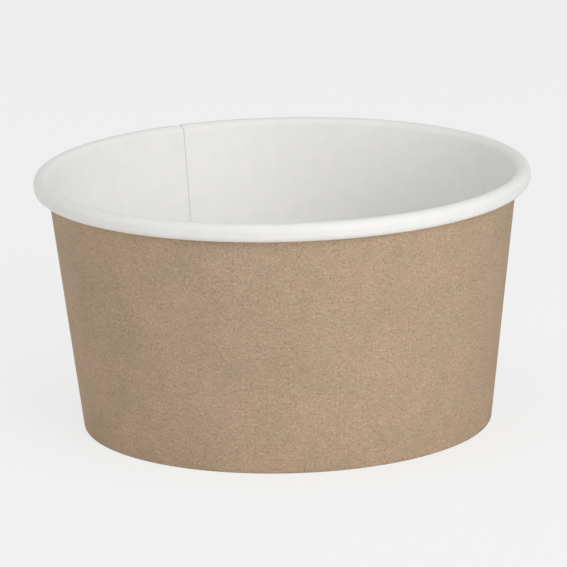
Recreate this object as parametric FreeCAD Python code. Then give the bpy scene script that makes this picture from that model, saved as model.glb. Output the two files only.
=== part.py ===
# Paper food tub: a conical side wall of paperboard, rolled outwards into a rim and lapped
# along one side seam, with a separate round base set up inside its foot.
#
# The wall is one blank. Its white face lines the tub, its kraft face is outside. The top edge
# is curled outwards and down into the rim, and the bottom edge is folded in and up behind the
# turned-down flange of the base, so that the base is held in a hem that the tub stands on.
#
# Frame: the origin is the centre of the standing ring, +Z goes up the axis, and the side seam
# lies at +Y. All sizes are in millimetres.
import FreeCAD, Part
import math
import os
from FreeCAD import Vector

# Overall sizes
rim_diameter = 115.5      # outside of the rolled rim
base_diameter = 95.5      # outside of the wall where the tub stands
height = 60.0

# Board
wall_board = 0.40         # thickness of the side wall's board
base_board = 0.36         # thickness of the base's board

# Rolled rim
roll_width = 3.5          # from the tub's white wall to the outside of the rim
roll_drop = 0.84          # straight side of the rim, between its upper and lower bends
roll_play = 0.06          # air between the turns of the roll
roll_tuck = 90.0          # degrees that the blank's edge goes on, once it is inside the roll

# Side seam
lap_width = 7.0           # width of the glued lap, measured half way up
lap_jog = 2.6             # length in which the outer layer steps over the inner one
lap_roll_turn = 125.0     # degrees of the roll's lower bend left at the lap's notched corner

# Base and foot
floor_height = 6.9        # the tub's floor above the table
floor_bend = 0.45         # inner radius where the base turns down into its flange
hem_drop = 0.7            # the hem's top edge below the start of the base's bend
fold_radius = 0.06        # inner radius of the two bends in the hem's fold
flange_play = 0.35        # air between the flange's edge and the fold of a double layer

# Places worked out from the sizes above
rim_radius = rim_diameter / 2
base_radius = base_diameter / 2
roll_radius = roll_width / 2
roll_centre = Vector(rim_radius - roll_radius, 0, height - roll_radius)
floor_bend_outside = floor_bend + base_board
hem_height = floor_height - floor_bend_outside - hem_drop


def wall_taper():
    """The wall's lean from the axis: its kraft face starts at the foot's outer edge and its
    white face runs on into the roll."""
    across = roll_centre.x - base_radius
    up = roll_centre.z
    reach = math.hypot(across, up)
    return math.acos((roll_radius - wall_board) / reach) - math.atan2(up, across)


taper = wall_taper()
up_wall = Vector(math.sin(taper), 0, math.cos(taper))
out_of_wall = Vector(math.cos(taper), 0, -math.sin(taper))
taper_degrees = math.degrees(taper)
wall_top = roll_centre - out_of_wall * roll_radius    # where the white face meets the roll


def white_face_point(z):
    """The point of the wall's white face at height z."""
    return wall_top - up_wall * ((wall_top.z - z) / up_wall.z)


def right_of(heading):
    """The unit vector to the right of a heading in the section plane, +X right and +Z up."""
    return Vector(heading.z, 0, -heading.x)


def turned(heading, degrees):
    """The heading turned to the left by an angle."""
    angle = math.radians(degrees)
    return Vector(heading.x * math.cos(angle) - heading.z * math.sin(angle), 0,
                  heading.x * math.sin(angle) + heading.z * math.cos(angle))


def face_edges(start, heading, moves, depth, longest_arc=50):
    """The edges of one face of a bent board, at a depth to the right of the path. A move is a
    straight length, or a pair of the path's bend radius and the degrees turned to the left. A
    long bend is drawn as equal arcs, so that a coarse mesh of the roll keeps its turns apart."""
    point, edges = start, []
    for move in moves:
        if not isinstance(move, tuple):
            before = point + right_of(heading) * depth
            point = point + heading * move
            edges.append(Part.LineSegment(before, point + right_of(heading) * depth).toShape())
            continue
        radius, degrees = move
        side = math.copysign(1, degrees)
        centre = point - right_of(heading) * radius * side
        steps = math.ceil(abs(degrees) / longest_arc)
        for _ in range(steps):
            ways = [turned(heading, degrees / steps * share) for share in (0, 0.5, 1)]
            places = [centre + right_of(way) * (radius * side + depth) for way in ways]
            edges.append(Part.Arc(*places).toShape())
            heading = ways[-1]
        point = centre + right_of(heading) * radius * side
    return edges


def end_of(edges):
    """The last point of a run of edges, in the order in which they were drawn."""
    last = edges[-1]
    return last.valueAt(last.LastParameter)


def start_of(edges):
    """The first point of a run of edges."""
    first = edges[0]
    return first.valueAt(first.FirstParameter)


def board_section(start, heading, moves, near, far):
    """The flat section of a bent board between two depths to the right of its path."""
    near_edges = face_edges(start, heading, moves, near)
    far_edges = face_edges(start, heading, moves, far)
    first_cut = Part.LineSegment(start_of(near_edges), start_of(far_edges)).toShape()
    last_cut = Part.LineSegment(end_of(near_edges), end_of(far_edges)).toShape()
    return Part.Wire([first_cut] + far_edges + [last_cut] + near_edges[::-1])


def foot_fold(layers):
    """The start and the moves of the hem: down from its top edge, round the fold and back up to
    the wall's white face. The fold stands on the table with this many layers of board under it."""
    bend_height = layers * wall_board + fold_radius
    wall_foot = white_face_point(bend_height + fold_radius * out_of_wall.z)
    across = (base_board - 2 * fold_radius) / math.cos(taper)
    hem_foot = wall_foot - out_of_wall * 2 * fold_radius - Vector(across, 0, 0)
    hem_length = (hem_height - hem_foot.z) / up_wall.z
    moves = [hem_length, (fold_radius, 90 + taper_degrees), across, (fold_radius, 90 - taper_degrees)]
    return hem_foot + up_wall * hem_length, moves, wall_foot


def roll_moves(whole):
    """The bends of the rim: over the top, down, under and, where it is whole, up inside itself."""
    turn_pitch = wall_board + roll_play
    narrowing = (turn_pitch - roll_drop * math.sin(taper)) / (1 + math.cos(taper))
    under_radius = roll_radius - narrowing
    moves = [(roll_radius, taper_degrees - 180), roll_drop]
    if not whole:
        return moves + [(under_radius, -lap_roll_turn)]
    back_up = roll_drop * math.cos(taper) - narrowing * math.sin(taper)
    tuck_radius = roll_radius - turn_pitch
    return moves + [(under_radius, -180 - taper_degrees), back_up, (tuck_radius, -roll_tuck)]


def wall_section(layers, near, far, whole_roll=True):
    """The side wall's section, from the top of the hem to the end of the roll, between two
    depths below its white face. layers says how many layers of board the foot stands on."""
    start, moves, foot = foot_fold(layers)
    straight = (wall_top - foot).dot(up_wall)
    path = moves + [straight] + roll_moves(whole_roll)
    return board_section(start, up_wall * -1, path, near, far)


def spun(wire, first, last):
    """The solid that a section sweeps about the axis, between two angles from +X in degrees."""
    face = Part.Face(wire)
    face.rotate(Vector(0, 0, 0), Vector(0, 0, 1), first)
    return face.revolve(Vector(0, 0, 0), Vector(0, 0, 1), last - first)


def stepped(wire_from, wire_to, first, last):
    """The solid between one section at the first angle and another at the last angle."""
    near, far = wire_from.copy(), wire_to.copy()
    near.rotate(Vector(0, 0, 0), Vector(0, 0, 1), first)
    far.rotate(Vector(0, 0, 0), Vector(0, 0, 1), last)
    return Part.makeLoft([near, far], True, True)


def side_wall():
    """The blank rolled into a cone and lapped at +Y. The inner layer starts at the seam's inner
    edge. The outer layer ends at the seam's outer edge, and steps out by one board beside the
    inner edge to lie over the other layer."""
    middle_radius = white_face_point(height / 2).x
    half_lap = math.degrees(lap_width / 2 / middle_radius)
    jog = math.degrees(lap_jog / middle_radius)
    outer_edge, inner_edge = 90 - half_lap, 90 + half_lap
    single = wall_section(1, 0, wall_board)
    stepped_out = wall_section(2, wall_board, 2 * wall_board, whole_roll=False)
    single_notched = wall_section(1, 0, wall_board, whole_roll=False)
    double = wall_section(2, 0, 2 * wall_board, whole_roll=False)
    body = spun(single, inner_edge + jog, 360 + outer_edge)
    step = stepped(stepped_out, single_notched, inner_edge, inner_edge + jog)
    lap = spun(double, outer_edge, inner_edge)
    return body.fuse([step, lap])


def base_disc():
    """The round base: flat, with its edge turned down into a flange that leans in with the wall."""
    bend_height = floor_height - floor_bend_outside
    flat_radius = white_face_point(bend_height).x - floor_bend_outside / math.cos(taper)
    flange_top = bend_height + floor_bend_outside * out_of_wall.z
    flange_bottom = 2 * wall_board + fold_radius + flange_play
    flange_length = (flange_top - flange_bottom) / up_wall.z
    moves = [flat_radius, (floor_bend_outside, -90 - taper_degrees), flange_length]
    section = board_section(Vector(0, 0, floor_height), Vector(1, 0, 0), moves, 0, base_board)
    return spun(section, 0, 360)


os.makedirs("parts", exist_ok=True)
for name, make in (("side_wall", side_wall), ("base_disc", base_disc)):
    piece = make()
    print(name, "solids", len(piece.Solids), "valid", piece.isValid(), "volume", round(piece.Volume, 1))
    piece.exportStep(f"parts/{name}.step")
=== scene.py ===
import bmesh
import bpy
import math
from mathutils import Matrix, Quaternion, Vector, noise


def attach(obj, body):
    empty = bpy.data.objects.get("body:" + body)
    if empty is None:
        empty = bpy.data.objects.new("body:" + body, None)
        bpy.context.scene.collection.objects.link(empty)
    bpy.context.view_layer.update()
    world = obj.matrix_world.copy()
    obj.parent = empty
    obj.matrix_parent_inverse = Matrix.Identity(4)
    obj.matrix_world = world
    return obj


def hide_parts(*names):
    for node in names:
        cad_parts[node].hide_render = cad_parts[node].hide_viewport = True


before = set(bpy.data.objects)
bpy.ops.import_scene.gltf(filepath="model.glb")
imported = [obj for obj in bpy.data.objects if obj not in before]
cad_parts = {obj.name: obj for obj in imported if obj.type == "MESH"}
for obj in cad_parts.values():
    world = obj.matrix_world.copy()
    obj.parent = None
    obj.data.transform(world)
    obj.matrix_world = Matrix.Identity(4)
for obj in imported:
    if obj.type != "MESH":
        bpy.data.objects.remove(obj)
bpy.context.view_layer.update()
scene = bpy.context.scene
print("frame loaded:", ", ".join(sorted(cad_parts)))

mm = 0.001


# ---- colours and nodes

def screenColour(red, green, blue):
    # 0-255 values as a screen shows them, turned to linear light
    parts = [value / 255 for value in (red, green, blue)]
    linear = [p / 12.92 if p <= 0.04045 else ((p + 0.055) / 1.055) ** 2.4 for p in parts]
    return (*linear, 1)


def addNode(tree, kind, inputs=None, **settings):
    # inputs are values or other nodes' sockets, by name or number
    made = tree.nodes.new("ShaderNode" + kind)
    for name, value in settings.items():
        setattr(made, name, value)
    for name, value in (inputs or {}).items():
        if isinstance(value, bpy.types.NodeSocket):
            tree.links.new(value, made.inputs[name])
        else:
            made.inputs[name].default_value = value
    return made


def noiseValue(tree, place, scale, detail=2.0, roughness=0.5):
    inputs = {"Vector": place, "Scale": scale, "Detail": detail, "Roughness": roughness}
    return addNode(tree, "TexNoise", inputs).outputs["Fac"]


def spread(tree, value, low, high, fromLow=0.3, fromHigh=0.7):
    inputs = {"Value": value, "From Min": fromLow, "From Max": fromHigh, "To Min": low, "To Max": high}
    return addNode(tree, "MapRange", inputs).outputs["Result"]


def multiply(tree, first, second):
    return addNode(tree, "Math", {0: first, 1: second}, operation="MULTIPLY").outputs[0]


def add(tree, first, second):
    return addNode(tree, "Math", {0: first, 1: second}, operation="ADD").outputs[0]


def mixColours(tree, share, first, second):
    made = addNode(tree, "Mix", {0: share, 6: first, 7: second}, data_type="RGBA")
    return made.outputs[2]


def shaded(tree, colour, factor):
    # the colour made lighter or darker by a factor near 1
    return addNode(tree, "VectorMath", {0: colour, "Scale": factor}, operation="SCALE").outputs[0]


def placeOf(tree, uvName):
    # the flat blank's own map where there is one, else the object's coordinates
    if uvName:
        return addNode(tree, "UVMap", uv_map=uvName).outputs["UV"]
    return addNode(tree, "TexCoord").outputs["Object"]


def newMaterial(name):
    material = bpy.data.materials.new(name)
    material.use_nodes = True
    tree = material.node_tree
    return material, tree, tree.nodes["Principled BSDF"]


def finishMaterial(tree, shader, colour, roughness, height, bumpDepth, bumpStrength):
    inputs = {"Height": height, "Distance": bumpDepth, "Strength": bumpStrength}
    bump = addNode(tree, "Bump", inputs)
    tree.links.new(colour, shader.inputs["Base Color"])
    tree.links.new(roughness, shader.inputs["Roughness"])
    tree.links.new(bump.outputs["Normal"], shader.inputs["Normal"])


kraft = {
    "olive": screenColour(184, 163, 136),
    "rosy": screenColour(191, 164, 140),
    "mottleScale": 90,         # per metre, so patches of about 11 mm
    "cloudScale": 420,
    "grainScale": 2900,
    "speckScale": 1700,
    "fibreDirections": (17, 77, 137),
    "fibreSize": (420, 2800),  # along and across a fibre, per metre
    "mottle": 0.03,
    "cloud": 0.055,
    "grain": 0.165,
    "fibre": 0.05,
    "lightSpeck": 0.18,
    "darkSpeck": 0.20,
    "roughness": (0.82, 0.94),
    "grainRelief": 0.7,
    "fibreRelief": 0.25,
    "relief": 0.03 * mm,
    "gloss": 0.2,
}


def kraftPaper(name, uvName):
    material, tree, shader = newMaterial(name)
    place = placeOf(tree, uvName)
    mottle = noiseValue(tree, place, kraft["mottleScale"], 3)
    cloud = noiseValue(tree, place, kraft["cloudScale"], 3, 0.6)
    grain = noiseValue(tree, place, kraft["grainScale"], 2, 0.7)
    speck = noiseValue(tree, place, kraft["speckScale"], 0)
    tint = spread(tree, mottle, 0, 1)
    colour = mixColours(tree, tint, kraft["olive"], kraft["rosy"])
    for value, share in ((mottle, kraft["mottle"]), (cloud, kraft["cloud"]), (grain, kraft["grain"])):
        colour = shaded(tree, colour, spread(tree, value, 1 - share, 1 + share))
    fibres = None
    for degrees in kraft["fibreDirections"]:
        along, across = kraft["fibreSize"]
        stretched = addNode(tree, "Mapping", {"Vector": place, "Rotation": (0, 0, math.radians(degrees)),
                                              "Scale": (along, across, 1)})
        strands = spread(tree, noiseValue(tree, stretched.outputs[0], 1, 1), 0, 1, 0.52, 0.72)
        fibres = strands if fibres is None else add(tree, fibres, strands)
    colour = shaded(tree, colour, spread(tree, fibres, 1 - kraft["fibre"] / 2, 1 + kraft["fibre"], 0, 1))
    colour = shaded(tree, colour, spread(tree, speck, 1, 1 + kraft["lightSpeck"], 0.64, 0.74))
    colour = shaded(tree, colour, spread(tree, speck, 1 - kraft["darkSpeck"], 1, 0.26, 0.36))
    roughness = spread(tree, cloud, *kraft["roughness"])
    grainHeight = multiply(tree, grain, kraft["grainRelief"])
    height = add(tree, grainHeight, multiply(tree, fibres, kraft["fibreRelief"]))
    finishMaterial(tree, shader, colour, roughness, height, kraft["relief"], 0.5)
    shader.inputs["Specular IOR Level"].default_value = kraft["gloss"]
    return material


white = {
    "cool": screenColour(247, 247, 246),
    "warm": screenColour(248, 247, 243),
    "cloudScale": 260,
    "grainScale": 1500,
    "cloud": 0.015,
    "grain": 0.006,
    "roughness": (0.42, 0.54),
    "grainRelief": 0.35,
    "relief": 0.04 * mm,
    "gloss": 0.35,
}


def coatedWhite(name, uvName):
    material, tree, shader = newMaterial(name)
    place = placeOf(tree, uvName)
    cloud = noiseValue(tree, place, white["cloudScale"], 3, 0.55)
    grain = noiseValue(tree, place, white["grainScale"], 2, 0.6)
    colour = mixColours(tree, spread(tree, cloud, 0, 1), white["cool"], white["warm"])
    for value, share in ((cloud, white["cloud"]), (grain, white["grain"])):
        colour = shaded(tree, colour, spread(tree, value, 1 - share, 1 + share))
    roughness = spread(tree, cloud, *white["roughness"])
    height = add(tree, cloud, multiply(tree, grain, white["grainRelief"]))
    finishMaterial(tree, shader, colour, roughness, height, white["relief"], 0.5)
    shader.inputs["Specular IOR Level"].default_value = white["gloss"]
    return material


bare = {
    "edge": screenColour(243, 241, 237),
    "edgeDark": screenColour(236, 232, 226),
    "under": screenColour(232, 229, 221),
    "underDark": screenColour(226, 221, 211),
    "edgeScale": 5000,
    "underScale": 900,
    "relief": 0.03 * mm,
    "gloss": 0.25,
}


def bareBoard(name, light, dark, fibreScale):
    # uncoated board: pale fibres
    material, tree, shader = newMaterial(name)
    place = placeOf(tree, None)
    fibres = noiseValue(tree, place, fibreScale, 3, 0.65)
    colour = mixColours(tree, spread(tree, fibres, 0, 1), dark, light)
    roughness = spread(tree, fibres, 0.85, 0.95)
    finishMaterial(tree, shader, colour, roughness, fibres, bare["relief"], 0.6)
    shader.inputs["Specular IOR Level"].default_value = bare["gloss"]
    return material


kraftFace = kraftPaper("kraftFace", "blank")
whiteFace = coatedWhite("whiteFace", "blank")
cutEdge = bareBoard("cutEdge", bare["edge"], bare["edgeDark"], bare["edgeScale"])
baseTop = coatedWhite("baseTop", None)
baseUnder = bareBoard("baseUnder", bare["under"], bare["underDark"], bare["underScale"])
print("papers made: kraft, coated white, cut edge, bare white")


# ---- drawing a bent board in section, in the x-z plane

def rightOf(heading):
    return Vector((heading.z, 0, -heading.x))


def turned(heading, degrees):
    return Matrix.Rotation(-math.radians(degrees), 3, "Y") @ heading


def runOn(bm, pen, length, steps):
    for _ in range(steps):
        pen["vert"] = bmesh.ops.extrude_vert_indiv(bm, verts=[pen["vert"]])["verts"][0]
        bmesh.ops.translate(bm, verts=[pen["vert"]], vec=pen["heading"] * (length / steps))


def bendOn(bm, pen, radius, degrees, steps):
    # a positive angle turns left
    centre = pen["vert"].co - rightOf(pen["heading"]) * radius * math.copysign(1, degrees)
    made = bmesh.ops.spin(bm, geom=[pen["vert"]], cent=centre, axis=(0, -1, 0),
                          angle=math.radians(degrees), steps=steps, use_duplicate=False)
    pen["vert"] = [part for part in made["geom_last"] if isinstance(part, bmesh.types.BMVert)][0]
    pen["heading"] = turned(pen["heading"], degrees)


def easeIn(share):
    share = min(1, max(0, share))
    return share * share * (3 - 2 * share)


def pieceOf(name, bm, papers):
    mesh = bpy.data.meshes.new(name)
    bm.to_mesh(mesh)
    bm.free()
    for paper in papers:
        mesh.materials.append(paper)
    piece = bpy.data.objects.new(name, mesh)
    scene.collection.objects.link(piece)
    return piece


def giveThickness(piece, board, backPaper, edgePaper):
    # the drawn face stays where it is, the board grows behind it, thinner where it is pressed
    solid = piece.modifiers.new("board", "SOLIDIFY")
    if piece.vertex_groups:
        solid.vertex_group = piece.vertex_groups[0].name
    solid.thickness = board
    solid.offset = -1
    solid.use_even_offset = True
    solid.material_offset = backPaper
    solid.material_offset_rim = edgePaper
    graph = bpy.context.evaluated_depsgraph_get()
    mesh = bpy.data.meshes.new_from_object(piece.evaluated_get(graph))
    piece.modifiers.clear()
    piece.data = mesh
    mesh.shade_smooth()
    mesh.set_sharp_from_angle(angle=math.radians(40))
    print(piece.name, "faces:", len(mesh.polygons))


# ---- side wall: one blank from the hem's top, round the foot, up the wall and round the rim

wall = {
    "rimDiameter": 115.5 * mm,
    "baseDiameter": 95.5 * mm,
    "height": 60 * mm,
    "board": 0.40 * mm,
    "rollWidth": 3.5 * mm,
    "rollDrop": 0.84 * mm,
    "rollPlay": 0.06 * mm,
    "rollTuck": 90,
    "foldRadius": 0.06 * mm,
    "foldGap": 0.36 * mm,       # between the wall and its hem, for the base's flange
    "hemTop": 5.39 * mm,
    "lapWidth": 7.0 * mm,
    "lapJog": 2.6 * mm,
    "lapRollTurn": 125,         # degrees of the lower bend left at the notched corners
    "lapGap": 0.01 * mm,
    "lapPress": 0.75,            # the lap's layers are pressed to this share of their thickness
    "liftRamp": 5,              # degrees in which the fold climbs over the other layer's edge
    "bodyColumns": 290,
    "lapColumns": 8,
    "waviness": 0.07 * mm,
    "waveRound": 2.4,           # waves of the noise round the tub and up the wall
    "waveUp": 22,
    "waveStart": 9 * mm,        # the hem holds the wall round below this height
    "waveRamp": 20 * mm,
}


def wallTaper():
    rollRadius = wall["rollWidth"] / 2
    across = wall["rimDiameter"] / 2 - rollRadius - wall["baseDiameter"] / 2
    up = wall["height"] - rollRadius
    return math.acos((rollRadius - wall["board"]) / math.hypot(across, up)) - math.atan2(up, across)


taper = wallTaper()
taperDegrees = math.degrees(taper)
upWall = Vector((math.sin(taper), 0, math.cos(taper)))
outOfWall = Vector((math.cos(taper), 0, -math.sin(taper)))
rollRadius = wall["rollWidth"] / 2
rollCentre = Vector((wall["rimDiameter"] / 2 - rollRadius, 0, wall["height"] - rollRadius))
wallTop = rollCentre - outOfWall * rollRadius


def whiteFaceAt(z):
    return wallTop - upWall * ((wallTop.z - z) / upWall.z)


def drawWallSection(bm):
    # returns the path's length up to the notch's edge
    fold = wall["foldRadius"]
    foot = whiteFaceAt(wall["board"] + fold + fold * outOfWall.z)
    across = (wall["foldGap"] - 2 * fold) / math.cos(taper)
    hemFoot = foot - outOfWall * 2 * fold - Vector((across, 0, 0))
    hemLength = (wall["hemTop"] - hemFoot.z) / upWall.z
    turnPitch = wall["board"] + wall["rollPlay"]
    drop = wall["rollDrop"]
    narrowing = (turnPitch - drop * math.sin(taper)) / (1 + math.cos(taper))
    underRadius = rollRadius - narrowing
    backUp = drop * math.cos(taper) - narrowing * math.sin(taper)
    straight = (wallTop - foot).dot(upWall)
    pen = {"vert": bm.verts.new(hemFoot + upWall * hemLength), "heading": -upWall}
    runOn(bm, pen, hemLength, 5)
    bendOn(bm, pen, fold, 90 + taperDegrees, 5)
    runOn(bm, pen, across, 1)
    bendOn(bm, pen, fold, 90 - taperDegrees, 5)
    runOn(bm, pen, straight, 28)
    bendOn(bm, pen, rollRadius, taperDegrees - 180, 18)
    runOn(bm, pen, drop, 2)
    bendOn(bm, pen, underRadius, -180 - taperDegrees, 20)
    runOn(bm, pen, backUp, 2)
    bendOn(bm, pen, rollRadius - turnPitch, -wall["rollTuck"], 8)
    bends = math.radians(180) * fold + math.radians(180 - taperDegrees) * rollRadius
    lower = math.radians(wall["lapRollTurn"]) * underRadius
    return hemLength + across + straight + bends + drop + lower


def measurePath(start, placeLayer):
    # each point of the section learns how far along the blank it lies
    before, here, place = None, start, 0
    while here:
        here[placeLayer] = place
        ahead = [edge.other_vert(here) for edge in here.link_edges if edge.other_vert(here) != before]
        if ahead:
            place += (ahead[0].co - here.co).length
        before, here = here, ahead[0] if ahead else None


def buildSideWall():
    bm = bmesh.new()
    placeLayer = bm.verts.layers.float.new("place")
    turnLayer = bm.verts.layers.float.new("turn")
    pressLayer = bm.verts.layers.deform.verify()
    notchPlace = drawWallSection(bm)
    bm.verts.ensure_lookup_table()
    measurePath(bm.verts[0], placeLayer)
    middleRadius = whiteFaceAt(wall["height"] / 2).x
    halfLap = math.degrees(wall["lapWidth"] / 2 / middleRadius)
    jog = math.degrees(wall["lapJog"] / middleRadius)
    outerEdge, innerEdge = 90 - halfLap, 90 + halfLap
    bodyEnd = 360 + outerEdge

    # round the tub one column at a time, from the outer layer's edge to the inner layer's edge
    toEdge = Matrix.Rotation(math.radians(outerEdge), 3, "Z")
    bmesh.ops.rotate(bm, verts=bm.verts, cent=(0, 0, 0), matrix=toEdge)
    ring = bm.verts[:] + bm.edges[:]
    turn = outerEdge
    for vert in bm.verts:
        vert[turnLayer] = turn
    lapColumns, bodyColumns = wall["lapColumns"], wall["bodyColumns"]
    stretches = ((2 * halfLap, lapColumns), (jog, lapColumns),
                 (bodyEnd - innerEdge - jog, bodyColumns), (2 * halfLap, lapColumns))
    for degrees, steps in stretches:
        for _ in range(steps):
            turn += degrees / steps
            ring = bmesh.ops.spin(bm, geom=ring, cent=(0, 0, 0), axis=(0, 0, 1), steps=1,
                                  angle=math.radians(degrees / steps), use_duplicate=False)["geom_last"]
            for part in ring:
                if isinstance(part, bmesh.types.BMVert):
                    part[turnLayer] = turn

    # the drawn face is the white one, so on the wall it looks at the axis
    bmesh.ops.recalc_face_normals(bm, faces=bm.faces)
    bm.faces.ensure_lookup_table()
    upright = [face for face in bm.faces if abs(face.calc_center_median().z - 30 * mm) < 2 * mm][0]
    if upright.normal.dot(upright.calc_center_median() * Vector((1, 1, 0))) > 0:
        bmesh.ops.reverse_faces(bm, faces=bm.faces)
    bm.normal_update()

    # the outer layer steps out over the inner one, and the fold climbs where two layers lie under it
    normals = {vert: vert.normal.copy() for vert in bm.verts}
    climb = wall["board"] * (2 * wall["lapPress"] - 1) + 2 * wall["lapGap"]
    for vert in bm.verts:
        turn = vert[turnLayer]
        out = 1 - easeIn((turn - innerEdge) / jog)
        lift = max(out, easeIn((turn - bodyEnd + wall["liftRamp"]) / wall["liftRamp"]))
        vert[pressLayer][0] = 1 - lift * (1 - wall["lapPress"])
        radial = Vector((vert.co.x, vert.co.y, 0)).normalized()
        lean = radial * math.sin(taper) + Vector((0, 0, math.cos(taper)))
        share = min(1, max(0, (wall["hemTop"] - vert.co.z) / (wall["hemTop"] - 1 * mm)))
        wavePlace = radial * wall["waveRound"] + Vector((0, 0, vert.co.z * wall["waveUp"] + 3))
        wave = noise.noise(wavePlace) * 0.5 + 0.5
        ripple = wave * wall["waviness"] * easeIn((vert.co.z - wall["waveStart"]) / wall["waveRamp"])
        vert.co -= normals[vert] * (wall["board"] * wall["lapPress"] + wall["lapGap"]) * out
        vert.co += lean * (climb / math.cos(taper)) * lift * share
        vert.co -= radial * ripple

    # the blank's corners are notched at the lap, so its roll is cut short there
    notched = []
    for face in bm.faces:
        turns = [vert[turnLayer] for vert in face.verts]
        inLap = max(turns) <= innerEdge + jog + 0.01 or min(turns) >= bodyEnd - 0.01
        if inLap and min(vert[placeLayer] for vert in face.verts) > notchPlace - 0.1 * mm:
            notched.append(face)
    bmesh.ops.delete(bm, geom=notched, context="FACES")

    # the map is the flat blank, a fan round the cone's tip
    uvLayer = bm.loops.layers.uv.new("blank")
    tipDistance = whiteFaceAt(0).x / math.sin(taper) - wall["hemTop"]
    for face in bm.faces:
        face.material_index = 1
        for loop in face.loops:
            fan = math.radians(loop.vert[turnLayer] - 270) * math.sin(taper)
            reach = tipDistance + loop.vert[placeLayer]
            loop[uvLayer].uv = (reach * math.sin(fan), reach * math.cos(fan))

    piece = pieceOf("sideWall", bm, (kraftFace, whiteFace, cutEdge))
    piece.vertex_groups.new(name="pressed")
    giveThickness(piece, wall["board"], -1, 1)
    return piece


# ---- base: a round blank with its edge turned down between the wall and the hem

base = {
    "floorHeight": 6.9 * mm,
    "board": 0.36 * mm,
    "bend": 0.45 * mm,
    "flangeBottom": 1.22 * mm,
    "fit": 0.015 * mm,         # air to the wall, so that the faces don't lie in each other
    "columns": 480,
    "dish": 0.22 * mm,         # the flat sags this much in the middle
    "unevenness": 0.05 * mm,
    "unevenScale": 45,
    "pleatReach": 2 * mm,      # from the edge inwards
    "pleatDepth": 0.05 * mm,
    "pleatsPerTurn": 21,
}


def buildBase():
    bm = bmesh.new()
    outside = base["bend"] + base["board"]
    bendHeight = base["floorHeight"] - outside
    flatRadius = whiteFaceAt(bendHeight).x - base["fit"] - outside / math.cos(taper)
    flangeTop = bendHeight + outside * outOfWall.z
    pen = {"vert": bm.verts.new((0, 0, base["floorHeight"])), "heading": Vector((1, 0, 0))}
    runOn(bm, pen, flatRadius, 22)
    bendOn(bm, pen, outside, -90 - taperDegrees, 9)
    runOn(bm, pen, (flangeTop - base["flangeBottom"]) / upWall.z, 6)
    bmesh.ops.spin(bm, geom=bm.verts[:] + bm.edges[:], cent=(0, 0, 0), axis=(0, 0, 1), use_merge=True,
                   angle=math.radians(360), steps=base["columns"], use_duplicate=False)
    bmesh.ops.remove_doubles(bm, verts=bm.verts, dist=0.001 * mm)
    bmesh.ops.recalc_face_normals(bm, faces=bm.faces)
    middle = [face for face in bm.faces if face.calc_center_median().length < 9 * mm][0]
    if middle.normal.z < 0:
        bmesh.ops.reverse_faces(bm, faces=bm.faces)

    # a faint dish, and the small pleats that a turned-down round edge gets
    for vert in bm.verts:
        radius = math.hypot(vert.co.x, vert.co.y)
        inside = max(0, 1 - (radius / flatRadius) ** 2)
        uneven = noise.noise(vert.co * base["unevenScale"]) * base["unevenness"]
        vert.co.z -= base["dish"] * easeIn(inside) + uneven * easeIn(inside * 4)
        if radius > flatRadius - base["pleatReach"]:
            heading = Vector((vert.co.x, vert.co.y, 0)).normalized()
            pleat = abs(noise.noise(heading * base["pleatsPerTurn"]))
            near = easeIn((radius - flatRadius + base["pleatReach"]) / base["pleatReach"])
            vert.co -= (heading * 0.6 + Vector((0, 0, 0.8))) * base["pleatDepth"] * (1 - pleat) ** 4 * near

    piece = pieceOf("baseDisc", bm, (baseTop, baseUnder))
    giveThickness(piece, base["board"], 1, 1)
    return piece


sideWall = buildSideWall()
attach(sideWall, "root")
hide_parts("side_wall")

baseDisc = buildBase()
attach(baseDisc, "root")
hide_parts("base_disc")


# ---- floor, backdrop and light

stage = {
    "backdrop": screenColour(240, 240, 240),
    "floor": screenColour(246, 246, 245),
    "floorRadius": 3.0,
    "floorHole": 0.0455,       # inside the foot, where nothing shows from above
    "flatShare": 0.8,          # of the floor's look that is plain colour, the rest takes light and shadow
    "flatGlow": 0.945,         # with the lit share, this comes out as the backdrop's colour
    "ambient": 0.32,
    "ambientColour": (0.985, 0.992, 1.0, 1),
}


def seenDirectly(tree):
    # 1 for rays from the camera, and for what mirrors and glass show
    path = addNode(tree, "LightPath")
    seen = add(tree, path.outputs["Is Camera Ray"], path.outputs["Is Glossy Ray"])
    return addNode(tree, "Math", {0: seen, 1: path.outputs["Is Transmission Ray"]}, operation="ADD",
                   use_clamp=True).outputs[0]


def buildFloor():
    bm = bmesh.new()
    bmesh.ops.create_circle(bm, cap_ends=False, radius=stage["floorRadius"], segments=96)
    bmesh.ops.create_circle(bm, cap_ends=False, radius=stage["floorHole"], segments=96)
    bmesh.ops.bridge_loops(bm, edges=bm.edges)
    bmesh.ops.recalc_face_normals(bm, faces=bm.faces)
    bm.faces.ensure_lookup_table()
    if bm.faces[0].normal.z < 0:
        bmesh.ops.reverse_faces(bm, faces=bm.faces)
    material, tree, shader = newMaterial("paleFloor")
    shader.inputs["Base Color"].default_value = stage["floor"]
    shader.inputs["Roughness"].default_value = 0.9
    shader.inputs["Specular IOR Level"].default_value = 0.1
    glow = addNode(tree, "Emission", {"Color": (1, 1, 1, 1), "Strength": stage["flatGlow"]})
    share = multiply(tree, seenDirectly(tree), stage["flatShare"])
    top = addNode(tree, "MixShader", {0: share, 1: shader.outputs[0], 2: glow.outputs[0]})
    below = addNode(tree, "NewGeometry").outputs["Backfacing"]
    clear = addNode(tree, "BsdfTransparent")
    both = addNode(tree, "MixShader", {0: below, 1: top.outputs[0], 2: clear.outputs[0]})
    tree.links.new(both.outputs[0], tree.nodes["Material Output"].inputs["Surface"])
    floor = pieceOf("floor", bm, (material,))
    return floor


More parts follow.
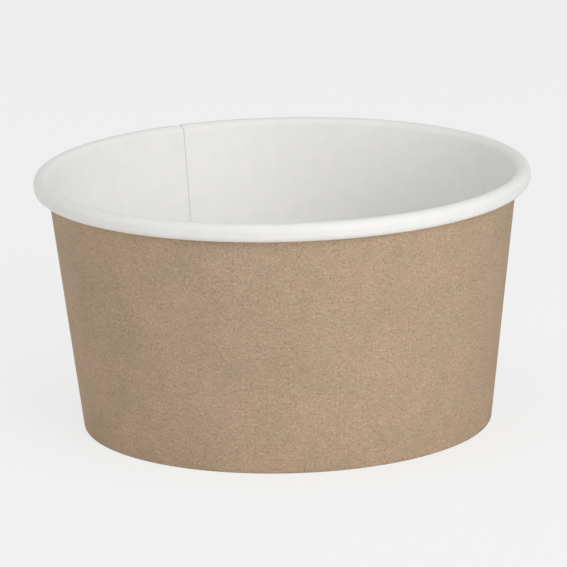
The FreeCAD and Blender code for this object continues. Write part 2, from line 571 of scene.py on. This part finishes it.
def buildWorld():
    world = bpy.data.worlds.new("studio")
    scene.world = world
    world.use_nodes = True
    tree = world.node_tree
    light = tree.nodes["Background"]
    light.inputs["Color"].default_value = stage["ambientColour"]
    light.inputs["Strength"].default_value = stage["ambient"]
    backdrop = addNode(tree, "Background", {"Color": stage["backdrop"], "Strength": 1})
    both = addNode(tree, "MixShader", {0: seenDirectly(tree), 1: light.outputs[0], 2: backdrop.outputs[0]})
    tree.links.new(both.outputs[0], tree.nodes["World Output"].inputs["Surface"])


def compass(azimuth, elevation):
    # azimuth 0 is the front, -Y, and grows to the right
    a, e = math.radians(azimuth), math.radians(elevation)
    return Vector((math.sin(a) * math.cos(e), -math.cos(a) * math.cos(e), math.sin(e)))


lamps = {
    # azimuth, elevation, distance, size, watts, colour
    "key": (9, 22, 1.2, 0.8, 6.7, (1.0, 0.99, 0.985)),
    "leftSide": (-112, 11, 1.2, 0.6, 2.6, (1.0, 0.99, 0.97)),
    "overhead": (10, 80, 1.2, 0.9, 2.9, (1.0, 0.995, 0.995)),
}


def buildLamps():
    for name, (azimuth, elevation, distance, size, watts, colour) in lamps.items():
        lamp = bpy.data.lights.new(name, "AREA")
        lamp.shape = "DISK"
        lamp.size = size
        lamp.energy = watts
        lamp.color = colour
        holder = bpy.data.objects.new(name, lamp)
        direction = compass(azimuth, elevation)
        holder.location = direction * distance + Vector((0, 0, 0.03))
        holder.rotation_euler = (-direction).to_track_quat("-Z", "Y").to_euler()
        holder.visible_camera = False
        scene.collection.objects.link(holder)


buildFloor()
buildWorld()
buildLamps()
print("floor, world and", len(lamps), "lamps in place")


# ---- camera, as the photograph was taken

view = {
    "azimuth": -21.6,
    "elevation": 14.01,
    "distance": 1.160,
    "lens": 315.54,
    "roll": -1.40,
    "aimHeight": 0.03236,
    "aimRight": -0.00028,
}

direction = compass(view["azimuth"], view["elevation"])
rightward = Vector((math.cos(math.radians(view["azimuth"])), math.sin(math.radians(view["azimuth"])), 0))
cameraData = bpy.data.cameras.new("camera")
cameraData.lens = view["lens"]
cameraData.sensor_width = 36
cameraData.clip_start = 0.05
cameraData.clip_end = 20
camera = bpy.data.objects.new("camera", cameraData)
aim = rightward * view["aimRight"] + Vector((0, 0, view["aimHeight"]))
camera.location = aim + direction * view["distance"]
level = (-direction).to_track_quat("-Z", "Y")
camera.rotation_euler = (level @ Quaternion((0, 0, 1), math.radians(view["roll"]))).to_euler()
scene.collection.objects.link(camera)
scene.camera = camera
scene.view_settings.view_transform = "Standard"
print("camera placed")
